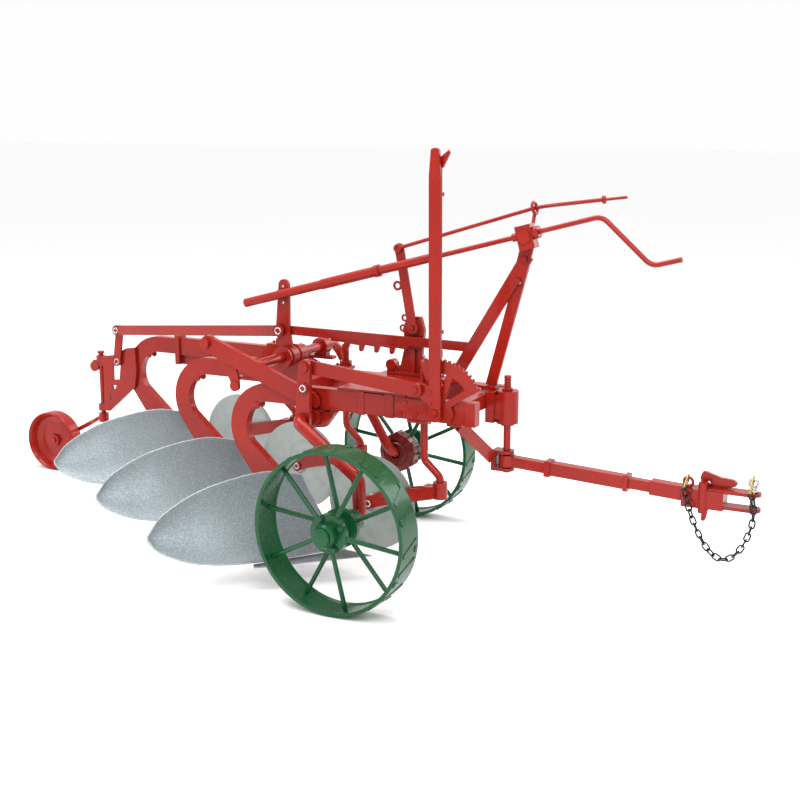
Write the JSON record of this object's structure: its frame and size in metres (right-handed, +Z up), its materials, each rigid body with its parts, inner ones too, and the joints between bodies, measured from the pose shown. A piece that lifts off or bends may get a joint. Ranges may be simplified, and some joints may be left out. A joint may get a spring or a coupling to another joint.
{
  "type": "tractor mouldboard plow",
  "caption": "Trailed mouldboard plow on spoked wheels, with rolling coulters, hand lever, depth screw, rear furrow wheel and swinging hitch bar.",
  "frame": {"origin": "centre of the footprint on the ground", "axes": "+X forward towards the hitch, +Y to the left of travel, +Z up"},
  "size_m": [4.364, 1.691, 1.9],
  "materials": {
    "red_enamel": "gloss",
    "green_enamel": "gloss",
    "bottom_steel": "satin",
    "bright_steel": "polished",
    "black_steel": "satin"
  },
  "bodies": {
    "frame": {"mouldboard_front": "bottom_steel", "mouldboard_middle": "bottom_steel", "mouldboard_rear": "bottom_steel", "share_front": "bottom_steel", "share_middle": "bottom_steel", "share_rear": "bottom_steel", "standard_front": "red_enamel", "standard_middle": "red_enamel", "standard_rear": "red_enamel", "frogs": "red_enamel", "landsides": "bottom_steel", "beam_front": "red_enamel", "beam_middle": "red_enamel", "beam_rear": "red_enamel", "lift_brace": "red_enamel", "crossbars": "red_enamel", "deck_plate": "red_enamel", "hitch_casting": "red_enamel", "hitch_post": "red_enamel", "hitch_stay": "red_enamel", "screw_tower": "red_enamel", "lever_quadrant": "red_enamel", "axle_bearings": "red_enamel", "coulter_clamps": "red_enamel", "coulter_shanks": "red_enamel", "trip_stand": "red_enamel", "rear_bracket": "red_enamel"},
    "furrow_crank": {"furrow_axle": "red_enamel", "furrow_arm": "red_enamel"},
    "furrow_wheel": {"furrow_wheel_tyre": "green_enamel", "furrow_wheel_centre": "green_enamel"},
    "lever": {"hand_lever": "red_enamel"},
    "latch": {"lever_latch": "red_enamel"},
    "leveling_link": {"lever_link": "red_enamel"},
    "lift_shaft": {"land_axle": "red_enamel", "clutch_drum": "red_enamel", "depth_arm": "red_enamel"},
    "land_wheel": {"land_wheel_tyre": "green_enamel", "land_wheel_centre": "green_enamel"},
    "tooth_link": {"front_link": "red_enamel"},
    "lift_link": {"rear_link": "red_enamel"},
    "tube": {"screw_tube": "red_enamel"},
    "swivel": {"screw_trunnion": "red_enamel"},
    "crank": {"screw_crank": "red_enamel"},
    "trip": {"trip_lever": "red_enamel"},
    "trip_pull": {"trip_rod": "red_enamel"},
    "rocker": {"rear_rocker": "red_enamel"},
    "post": {"rear_post": "red_enamel"},
    "fork": {"rear_fork": "red_enamel"},
    "tail_wheel": {"rear_wheel": "red_enamel"},
    "hitch_bar": {"drawbar": "red_enamel", "hitch_head": "red_enamel", "chain": "black_steel"},
    "draw_pin": {"hitch_pin": "black_steel"},
    "coulter_fork_front": {"coulter_yoke_front": "red_enamel"},
    "coulter_front": {"coulter_disc_front": "bright_steel"},
    "coulter_fork_middle": {"coulter_yoke_middle": "red_enamel"},
    "coulter_middle": {"coulter_disc_middle": "bright_steel"},
    "coulter_fork_rear": {"coulter_yoke_rear": "red_enamel"},
    "coulter_rear": {"coulter_disc_rear": "bright_steel"}
  },
  "joints": [
    {"name": "coulter_swivel_front", "type": "hinge", "parent": "frame", "child": "coulter_fork_front", "pos_m": [0.858, -0.1695, 0.432], "axis": [0, 0, 1], "range_deg": [-15, 15]},
    {"name": "coulter_spin_front", "type": "hinge", "parent": "coulter_fork_front", "child": "coulter_front", "pos_m": [0.535, -0.2055, 0.345], "axis": [0, 1, 0], "continuous": true},
    {"name": "coulter_swivel_middle", "type": "hinge", "parent": "frame", "child": "coulter_fork_middle", "pos_m": [0.233, 0.2365, 0.432], "axis": [0, 0, 1], "range_deg": [-15, 15]},
    {"name": "coulter_spin_middle", "type": "hinge", "parent": "coulter_fork_middle", "child": "coulter_middle", "pos_m": [-0.09, 0.2005, 0.345], "axis": [0, 1, 0], "continuous": true},
    {"name": "coulter_swivel_rear", "type": "hinge", "parent": "frame", "child": "coulter_fork_rear", "pos_m": [-0.392, 0.6425, 0.432], "axis": [0, 0, 1], "range_deg": [-15, 15]},
    {"name": "coulter_spin_rear", "type": "hinge", "parent": "coulter_fork_rear", "child": "coulter_rear", "pos_m": [-0.715, 0.6065, 0.345], "axis": [0, 1, 0], "continuous": true},
    {"name": "furrow_crank_turn", "type": "hinge", "parent": "frame", "child": "furrow_crank", "pos_m": [0.255, -0.2175, 0.715], "axis": [0, 1, 0], "range_deg": [-5, 15]},
    {"name": "furrow_wheel_spin", "type": "hinge", "parent": "furrow_crank", "child": "furrow_wheel", "pos_m": [0.62, -0.6675, 0.355], "axis": [0, 1, 0], "continuous": true},
    {"name": "lever_swing", "type": "hinge", "parent": "frame", "child": "lever", "pos_m": [0.882, -0.2705, 0.8], "axis": [0, 1, 0], "range_deg": [-10.5, 31.5]},
    {"name": "latch_lift", "type": "slide", "parent": "lever", "child": "latch", "axis": [0, 0, 1], "range_m": [0, 0.012], "stiffness_N_per_m": 500, "springref_m": -0.04},
    {"name": "link_swing", "type": "hinge", "parent": "furrow_crank", "child": "leveling_link", "pos_m": [0.27, -0.2925, 0.95], "axis": [0, 1, 0], "range_deg": [-21, 7]},
    {"name": "lift_turn", "type": "hinge", "parent": "frame", "child": "lift_shaft", "pos_m": [-0.08, 0.0925, 0.905], "axis": [0, 1, 0], "range_deg": [-6, 8]},
    {"name": "land_wheel_spin", "type": "hinge", "parent": "lift_shaft", "child": "land_wheel", "pos_m": [0.242, 0.7215, 0.355], "axis": [0, 1, 0], "continuous": true},
    {"name": "tooth_link_swing", "type": "hinge", "parent": "lift_shaft", "child": "tooth_link", "pos_m": [-0.113, 0.1115, 1.028], "axis": [0, 1, 0], "range_deg": [-8, 6]},
    {"name": "rear_link_swing", "type": "hinge", "parent": "lift_shaft", "child": "lift_link", "pos_m": [-0.113, 0.0715, 1.028], "axis": [0, 1, 0], "range_deg": [-9, 7]},
    {"name": "tube_swing", "type": "hinge", "parent": "lift_shaft", "child": "tube", "pos_m": [-0.1, 0.0545, 1.201], "axis": [0, 1, 0], "range_deg": [-9, 7]},
    {"name": "swivel_turn", "type": "hinge", "parent": "frame", "child": "swivel", "pos_m": [1.151, 0.0505, 1.533], "axis": [0, 1, 0], "range_deg": [-1, 1]},
    {"name": "crank_spin", "type": "hinge", "parent": "swivel", "child": "crank", "pos_m": [1.151, 0.0505, 1.533], "axis": [0.9665, 0, 0.2565], "continuous": true},
    {"name": "trip_swing", "type": "hinge", "parent": "frame", "child": "trip", "pos_m": [0.568, 0.1325, 1.081], "axis": [0, 1, 0], "range_deg": [0, 6]},
    {"name": "trip_rod_swing", "type": "hinge", "parent": "trip", "child": "trip_pull", "pos_m": [0.502, 0.116, 1.441], "axis": [0, 1, 0], "range_deg": [-7, 0]},
    {"name": "rocker_swing", "type": "hinge", "parent": "frame", "child": "rocker", "pos_m": [-1.491, 0.5425, 0.686], "axis": [0, 1, 0], "range_deg": [-5, 6]},
    {"name": "post_slide", "type": "slide", "parent": "frame", "child": "post", "axis": [0, 0, 1], "range_m": [-0.015, 0.012]},
    {"name": "tail_swivel", "type": "hinge", "parent": "post", "child": "fork", "pos_m": [-1.635, 0.5775, 0.35], "axis": [0, 0, 1], "range_deg": [-20, 20]},
    {"name": "tail_wheel_spin", "type": "hinge", "parent": "fork", "child": "tail_wheel", "pos_m": [-2.012, 0.5775, 0.17], "axis": [0, 1, 0], "continuous": true},
    {"name": "drawbar_swing", "type": "hinge", "parent": "frame", "child": "hitch_bar", "pos_m": [1.058, 0.0925, 0.53], "axis": [0, 0, 1], "range_deg": [-25, 25]},
    {"name": "pin_lift", "type": "slide", "parent": "hitch_bar", "child": "draw_pin", "axis": [0, 0, 1], "range_m": [0, 0.05], "deforming": ["chain"]}
  ],
  "couplings": [
    {"joint": "link_swing", "follows": "furrow_crank_turn", "ratio": -1.4},
    {"joint": "lever_swing", "follows": "furrow_crank_turn", "ratio": 2.1},
    {"joint": "tooth_link_swing", "follows": "lift_turn", "ratio": -1},
    {"joint": "rear_link_swing", "follows": "lift_turn", "ratio": -1.035},
    {"joint": "tube_swing", "follows": "lift_turn", "ratio": -1.0625},
    {"joint": "swivel_turn", "follows": "lift_turn", "ratio": -0.0625},
    {"joint": "rocker_swing", "follows": "lift_turn", "ratio": 0.68},
    {"joint": "post_slide", "follows": "lift_turn", "m_per_rad": -0.1},
    {"joint": "trip_rod_swing", "follows": "trip_swing", "ratio": -1.125}
  ]
}
